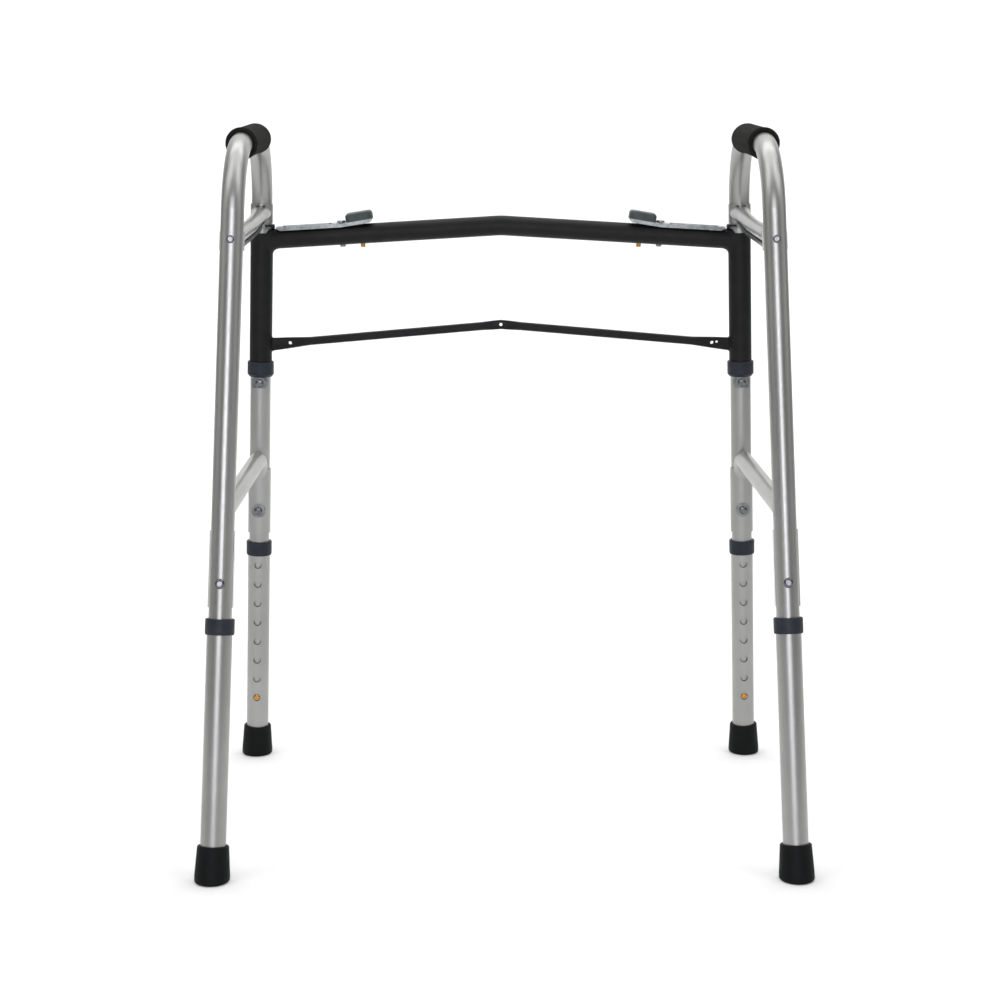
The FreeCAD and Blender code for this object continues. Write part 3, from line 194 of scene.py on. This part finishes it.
MATERIALS = {
    "satin_aluminium": satin_aluminium(),
    "dark_frame": dark_frame(),
    "grey_collar": moulded("grey_collar", (0.014, 0.018, 0.026), (0.022, 0.027, 0.036), (0.4, 0.54)),
    "zinc": zinc(),
    "spring_steel": polished("spring_steel", (0.40, 0.40, 0.42), (0.5, 0.5, 0.52), (0.25, 0.35)),
    "paddle": moulded("paddle", (0.040, 0.052, 0.049), (0.060, 0.076, 0.072), (0.36, 0.48), 1500, 0.22),
    "brass": polished("brass", (0.40, 0.21, 0.055), (0.52, 0.29, 0.085), (0.2, 0.32)),
    "foam": foam(),
    "chrome_bolt": polished("chrome_bolt", (0.12, 0.12, 0.13), (0.18, 0.18, 0.19), (0.05, 0.12)),
    "black_plastic": moulded("black_plastic", (0.008, 0.008, 0.009), (0.015, 0.015, 0.016), (0.35, 0.5)),
    "rubber_tip": rubber(),
}


def give(obj, slot):
    obj.data.materials.clear()
    obj.data.materials.append(MATERIALS[slot])


# ---- Geometry helpers ----

def mesh_piece(name, verts, faces, slot, body):
    mesh = bpy.data.meshes.new(name)
    mesh.from_pydata([tuple(v) for v in verts], [], faces)
    mesh.update()
    obj = bpy.data.objects.new(name, mesh)
    bpy.context.scene.collection.objects.link(obj)
    give(obj, slot)
    for face in mesh.polygons:
        face.use_smooth = True
    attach(obj, body)
    return obj


def ring_faces(rings, count):
    """Quads between closed rings of points, the last ring joined to the first."""
    faces = []
    for r in range(rings):
        a, b = r * count, ((r + 1) % rings) * count
        for c in range(count):
            d = (c + 1) % count
            faces.append((a + c, b + c, b + d, a + d))
    return faces


def leg_point(side, leg, height):
    """The point of a leg's middle line at that height."""
    lean, foot_y = LEGS[leg]
    return Vector((SIDES[side] * (FOOT_X - SPLAY * height), foot_y - lean * height, height))


def leg_axis(side, leg):
    """A leg's foot and its upward direction."""
    foot = leg_point(side, leg, 0)
    return foot, (leg_point(side, leg, 1) - foot).normalized()


def square_to(axis, vector):
    """The part of a vector that is square to the axis."""
    return vector - axis * vector.dot(axis)


# ---- Foam grips ----

GRIP_R, GRIP_CLEARANCE = 0.0175, 0.0001
GRIP_SWEEPS = {"front": math.radians(13), "rear": math.radians(3)}
RIB_PITCH, RIB_DEPTH = 0.0034, 0.00045
FLANGE_R, FLANGE_LENGTH = 0.0183, 0.0045
NOSE_LENGTH, NOSE_DROP = 0.004, 0.0035
GRIP_POINTS, STEPS_PER_RIB = 48, 6


def bend_start(side, leg, corner, way):
    """Where a bend leaves the handle's straight, and the direction from there to the bend's centre."""
    leg_way = (leg_point(side, leg, 0) - corner).normalized()
    turn = math.pi - leg_way.angle(way)
    start = corner + way * (BEND_R * math.tan(turn / 2))
    return start, square_to(way, leg_way).normalized()


def on_bend(start, down, way, angle, sense, length):
    """A point of a bend, its heading and its place along the handle."""
    centre = start + down * BEND_R
    radial = -down * math.cos(angle) - way * math.sin(angle)
    heading = (down * math.sin(angle) - way * math.cos(angle)) * sense
    return centre + radial * BEND_R, heading.normalized(), length


def grip_path(side):
    """Points, headings and lengths along the grip's middle line from its rear end, and the way across it."""
    front = leg_point(side, "front", HANDLE_FRONT_Z)
    rear = leg_point(side, "rear", HANDLE_REAR_Z)
    along = (front - rear).normalized()
    rear_start, rear_down = bend_start(side, "rear", rear, along)
    front_start, front_down = bend_start(side, "front", front, -along)
    straight = (front_start - rear_start).length
    start = -GRIP_SWEEPS["rear"] * BEND_R
    end = straight + GRIP_SWEEPS["front"] * BEND_R
    steps = round((end - start) / (RIB_PITCH / STEPS_PER_RIB))
    points = []
    for i in range(steps + 1):
        t = start + (end - start) * i / steps
        if t < 0:
            points.append(on_bend(rear_start, rear_down, along, -t / BEND_R, -1, t))
        elif t > straight:
            points.append(on_bend(front_start, front_down, -along, (t - straight) / BEND_R, 1, t))
        else:
            points.append((rear_start + along * t, along, t))
    return points, along.cross(front_down).normalized()


def quarter_round(part):
    """Rises from 0 to 1 round a quarter circle while part goes from 0 to 1."""
    return math.sqrt(max(0.0, 1 - (1 - part) ** 2))


def grip_radius(from_rear, from_front):
    """The grip's radius, that far from its two ends: a flange, rounded ribs and a rounded front end."""
    rib = math.sin(math.pi * (from_rear - FLANGE_LENGTH) / RIB_PITCH) ** 2
    radius = GRIP_R - RIB_DEPTH * (1 - rib) ** 3
    if from_rear < FLANGE_LENGTH:
        edge = min(from_rear, FLANGE_LENGTH - from_rear) / (FLANGE_LENGTH / 2)
        radius = GRIP_R + (FLANGE_R - GRIP_R) * quarter_round(edge)
    if from_front < NOSE_LENGTH:
        radius -= NOSE_DROP * (1 - quarter_round(from_front / NOSE_LENGTH))
    return radius


def make_grip(side):
    """The ribbed foam over the handle, closed along its bore."""
    points, across = grip_path(side)
    start, end = points[0][2], points[-1][2]
    rings = [(p, grip_radius(p[2] - start, end - p[2])) for p in points]
    rings += [(p, TUBE_R + GRIP_CLEARANCE) for p in reversed(points)]
    verts = []
    for (centre, heading, _), radius in rings:
        up = across.cross(heading).normalized()
        for k in range(GRIP_POINTS):
            a = 2 * math.pi * k / GRIP_POINTS
            verts.append(centre + (across * math.cos(a) + up * math.sin(a)) * radius)
    obj = mesh_piece(f"foam_grip_{side}", verts, ring_faces(len(rings), GRIP_POINTS), "foam", f"{side}_side")
    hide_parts(f"grip_{side}")


# ---- Welds between the bars and the sleeves ----

SLEEVE_R = 0.014
# Each weld's bar: its height at the sleeves and at its middle, its half width and half height, and how far
# the weld reaches along it below and above
WELDS = {
    "crossbar_weld": (0.671, 0.6885, (0.0123, 0.0123), (0.0085, 0.003)),
    "lower_bar_weld": (0.539, 0.565, (0.0016, 0.0084), (0.0022, 0.0022)),
}
WELD_CUTS, WELD_STEPS = 72, 8
# The lines that find the sleeve start this far inboard of its middle
WELD_START = 0.03
# How far a weld's edges sink into the metal, its curve stands off the corner, and its inner point lies inside
WELD_SINK, WELD_CORNER, WELD_ROOT = 0.0004, 0.0002, 0.002
# The reach on the sleeve as a share of the reach on the bar
WELD_SPREAD = 0.9
# Each ripple round a weld: its size as a share of the reach, its count and its shift
RIPPLES = ((0.05, 9, 0), (0.03, 23, 1))


def sleeve_hit(point, way, side):
    """Where a line from point along way meets the sleeve, and the sleeve's outward direction there."""
    foot, axis = leg_axis(side, "front")
    p = square_to(axis, point - foot)
    w = square_to(axis, way)
    a, b, c = w.dot(w), 2 * p.dot(w), p.dot(p) - SLEEVE_R ** 2
    t = (-b - math.sqrt(max(0.0, b * b - 4 * a * c))) / (2 * a)
    hit = point + way * t
    return hit, square_to(axis, hit - foot).normalized()


def onto_sleeve(point, side):
    """The point of the sleeve's outside that is nearest to this one."""
    foot, axis = leg_axis(side, "front")
    height = (point - foot).dot(axis)
    return foot + axis * height + square_to(axis, point - foot).normalized() * SLEEVE_R


def weld_reach(angle, reaches):
    """How far the weld reaches along the bar at that angle: longest underneath, with a hand weld's ripple."""
    below, above = reaches
    low = 0.5 - 0.5 * math.sin(angle)
    ripple = sum(size * math.sin(count * angle + shift) for size, count, shift in RIPPLES)
    return (above + (below - above) * low ** 2) * (1 + ripple)


def weld_cut(side, centre, axes, angle, bar, reaches):
    """A cut through a weld: a concave curve from bar to sleeve, closed by a point inside the metal."""
    along, front, up = axes
    wide, tall = bar
    radial = (front * (math.cos(angle) / wide) + up * (math.sin(angle) / tall)).normalized()
    point = centre + front * wide * math.cos(angle) + up * tall * math.sin(angle)
    hit, out = sleeve_hit(point, -along, side)
    reach = weld_reach(angle, reaches)
    on_bar = hit + along * reach
    spread = square_to(out, radial).normalized()
    on_sleeve = onto_sleeve(hit + spread * reach * WELD_SPREAD, side)
    corner = hit + out * WELD_CORNER
    cut = [on_bar - radial * WELD_SINK]
    for i in range(1, WELD_STEPS):
        t = i / WELD_STEPS
        cut.append(on_bar * (1 - t) ** 2 + corner * (2 * t * (1 - t)) + on_sleeve * t ** 2)
    cut.append(on_sleeve - out * WELD_SINK)
    cut.append(hit - out * WELD_ROOT - radial * WELD_ROOT)
    return cut


def make_weld(name, side, end_z, middle_z, bar, reaches):
    """A concave fillet round the end of a bar."""
    end = leg_point(side, "front", end_z)
    middle = Vector((0, FOOT_Y - FRONT_LEAN * middle_z, middle_z))
    along = (middle - end).normalized()
    front = Vector((0, 1, FRONT_LEAN)).normalized()
    up = along.cross(front)
    if up.z < 0:
        up = -up
    verts = []
    for k in range(WELD_CUTS):
        angle = 2 * math.pi * k / WELD_CUTS
        verts += weld_cut(side, end + along * WELD_START, (along, front, up), angle, bar, reaches)
    faces = ring_faces(WELD_CUTS, len(verts) // WELD_CUTS)
    mesh_piece(f"{name}_{side}", verts, faces, "dark_frame", "front_frame")


# ---- Painted shade below the height holes ----

EXTENSION_R, HOLE_R = 0.01395, 0.00435
BUTTON_HEIGHT, HOLE_PITCH, HOLES = 0.0804, 0.0254, 8
HOLE_FACING = {"front": -1, "rear": 1}
# Sizes of the dark crescents of painted shade below the holes
CRESCENT_WIDTH, CRESCENT_TIP_WIDTH, CRESCENT_GAP = 0.0008, 0.000048, 0.00002
CRESCENT_PROUD, CRESCENT_OUTER_PROUD, CRESCENT_SINK = 0.00012, 0.000048, 0.0003
CRESCENT_REACH, CRESCENT_STEPS = math.radians(112), 20
CRESCENT_FULLNESS = 0.8


def shade_crescent_corners(angle):
    """A painted shade crescent's cut at that angle from straight down: its corners, by hole radius and height
    off the tube.
    """
    bulge = max(0.0, math.cos(angle / CRESCENT_REACH * math.pi / 2)) ** CRESCENT_FULLNESS
    inner = HOLE_R + CRESCENT_GAP
    outer = HOLE_R + CRESCENT_TIP_WIDTH + (CRESCENT_WIDTH - CRESCENT_TIP_WIDTH) * bulge
    return (inner, -CRESCENT_SINK), (inner, CRESCENT_PROUD), (outer, CRESCENT_OUTER_PROUD), (outer, -CRESCENT_SINK)


def shade_crescent_verts(centre, axes):
    """The cuts of one painted shade crescent, from end to end, bent round the tube."""
    sideways, up, out = axes
    verts = []
    for i in range(CRESCENT_STEPS + 1):
        angle = CRESCENT_REACH * (2 * i / CRESCENT_STEPS - 1)
        for radius, proud in shade_crescent_corners(angle):
            across, down = radius * math.sin(angle), radius * math.cos(angle)
            depth = math.sqrt(EXTENSION_R ** 2 - across ** 2) + proud
            verts.append(centre + sideways * across - up * down + out * depth)
    return verts


def shade_crescent_faces(first):
    """The faces of one painted shade crescent whose points start at number first, closed at both ends."""
    faces = []
    last = first + 4 * CRESCENT_STEPS
    for a in range(first, last, 4):
        faces += [(a + k, a + (k + 1) % 4, a + 4 + (k + 1) % 4, a + 4 + k) for k in range(4)]
    faces += [(first + 3, first + 2, first + 1, first), (last, last + 1, last + 2, last + 3)]
    return faces


def make_hole_shade_crescents(side, leg):
    """Painted shade at each height hole: a thin dark crescent below the hole, standing in for the shade at
    its lower edge.
    """
    foot, up = leg_axis(side, leg)
    sideways = Vector((1, 0, SIDES[side] * SPLAY)).normalized()
    out = up.cross(sideways).normalized() * HOLE_FACING[leg]
    verts, faces = [], []
    for hole in range(HOLES):
        centre = foot + up * (BUTTON_HEIGHT + hole * HOLE_PITCH)
        faces += shade_crescent_faces(len(verts))
        verts += shade_crescent_verts(centre, (sideways, up, out))
    # The crescents take the dark collar plastic as painted shade
    mesh_piece(f"hole_shade_crescents_{leg}_{side}", verts, faces, "grey_collar", f"leg_{leg}_{side}")


# ---- Build ----

def dress_frame():
    """Every CAD node takes its slot's material."""
    slots = {s["node"]: s["material_slot"] for s in frame["record"]["subparts"]}
    for name, obj in NODES.items():
        give(obj, slots[name])


dress_frame()
for side in SIDES:
    make_grip(side)
    for leg in LEGS:
        make_hole_shade_crescents(side, leg)
for side in SIDES:
    for name, weld in WELDS.items():
        make_weld(name, side, *weld)


# ---- Floor, light and camera ----

STAGE_HALF_WIDTH, STAGE_FRONT, STAGE_BACK, STAGE_TOP = 7.0, -6.0, 3.2, 4.5
COVE_R, COVE_STEPS = 1.2, 16
BELOW_TIPS = 0.0002
STAGE_COLOR = (0.93, 0.93, 0.93)
STAGE_SHADE = 0.985

WHITE, COOL, WARM = (1, 1, 1), (0.96, 0.95, 1.0), (1.0, 0.99, 0.96)
# Each softbox: its place, what it points at, its width, height, power and colour
LIGHTS = {
    "top_soft": ((0, 0.6, 3.4), (0, 0.5, 0), 3.6, 2.6, 32, WHITE),
    "backdrop_soft": ((0, 1.4, 3.6), (0, 3.2, 0.9), 6.0, 1.0, 85, WHITE),
    "key_strip": ((-0.15, -3.6, 1.35), (0, 0, 0.45), 2.0, 2.0, 54, COOL),
    "side_left": ((-3.2, -0.6, 1.9), (0, 0, 0.7), 2.6, 2.6, 12, WARM),
    "high_left": ((-1.9, -0.9, 3.0), (0, 0, 0.75), 1.8, 1.8, 16, WHITE),
    "high_right": ((1.9, -0.9, 3.0), (0, 0, 0.75), 1.8, 1.8, 16, WHITE),
    "side_right": ((3.2, -0.6, 1.9), (0, 0, 0.7), 2.6, 2.6, 12, WARM),
    "floor_soft": ((0, -0.9, 3.2), (0, -0.7, 0), 3.0, 1.6, 12, WHITE),
}
WORLD_COLOR, WORLD_STRENGTH = (0.82, 0.83, 0.85, 1), 0.24

CAMERA_PLACE = (-0.0257, -2.3095, 0.816)
CAMERA_DOWN, CAMERA_TURN = math.radians(10.69), math.radians(0.56)
CAMERA_LENS, CAMERA_SENSOR, CAMERA_REACH = 72.3, 36.0, 50


def stage_line():
    """The stage's profile from front to back: a flat floor, a cove and a backdrop."""
    line = [(STAGE_FRONT, 0.0), (STAGE_BACK - COVE_R, 0.0)]
    for i in range(1, COVE_STEPS + 1):
        a = math.pi / 2 * i / COVE_STEPS
        line.append((STAGE_BACK - COVE_R + COVE_R * math.sin(a), COVE_R * (1 - math.cos(a))))
    line.append((STAGE_BACK, STAGE_TOP))
    return line


def make_stage():
    """A pale floor that curves up into a pale backdrop."""
    line = stage_line()
    verts = [(x, y, z - BELOW_TIPS) for y, z in line for x in (-STAGE_HALF_WIDTH, STAGE_HALF_WIDTH)]
    faces = [(2 * i, 2 * i + 1, 2 * i + 3, 2 * i + 2) for i in range(len(line) - 1)]
    mesh = bpy.data.meshes.new("studio_floor")
    mesh.from_pydata(verts, [], faces)
    for face in mesh.polygons:
        face.use_smooth = True
    obj = bpy.data.objects.new("studio_floor", mesh)
    bpy.context.scene.collection.objects.link(obj)
    n = Nodes("studio_floor")
    tone = n.ramp(n.noise(3.0, detail=3.0), tuple(c * STAGE_SHADE for c in STAGE_COLOR), STAGE_COLOR)
    obj.data.materials.append(n.finish(tone, Roughness=0.85, Specular_IOR_Level=0.1))


def area_light(name, place, aim, width, height, power, color):
    data = bpy.data.lights.new(name, "AREA")
    data.shape = "RECTANGLE"
    data.size, data.size_y = width, height
    data.energy = power
    data.color = color
    obj = bpy.data.objects.new(name, data)
    obj.location = place
    obj.rotation_euler = (Vector(aim) - Vector(place)).to_track_quat("-Z", "Y").to_euler()
    bpy.context.scene.collection.objects.link(obj)


def make_light():
    for name, light in LIGHTS.items():
        area_light(name, *light)
    world = bpy.data.worlds.new("studio")
    world.use_nodes = True
    background = world.node_tree.nodes["Background"]
    background.inputs["Color"].default_value = WORLD_COLOR
    background.inputs["Strength"].default_value = WORLD_STRENGTH
    scene = bpy.context.scene
    scene.world = world
    scene.view_settings.view_transform = "Standard"
    scene.view_settings.look = "None"


def make_camera():
    data = bpy.data.cameras.new("camera")
    data.sensor_width = CAMERA_SENSOR
    data.lens = CAMERA_LENS
    data.clip_end = CAMERA_REACH
    camera = bpy.data.objects.new("camera", data)
    camera.location = CAMERA_PLACE
    camera.rotation_euler = Euler((math.pi / 2 - CAMERA_DOWN, 0, -CAMERA_TURN))
    bpy.context.scene.collection.objects.link(camera)
    bpy.context.scene.camera = camera


make_stage()
make_light()
make_camera()
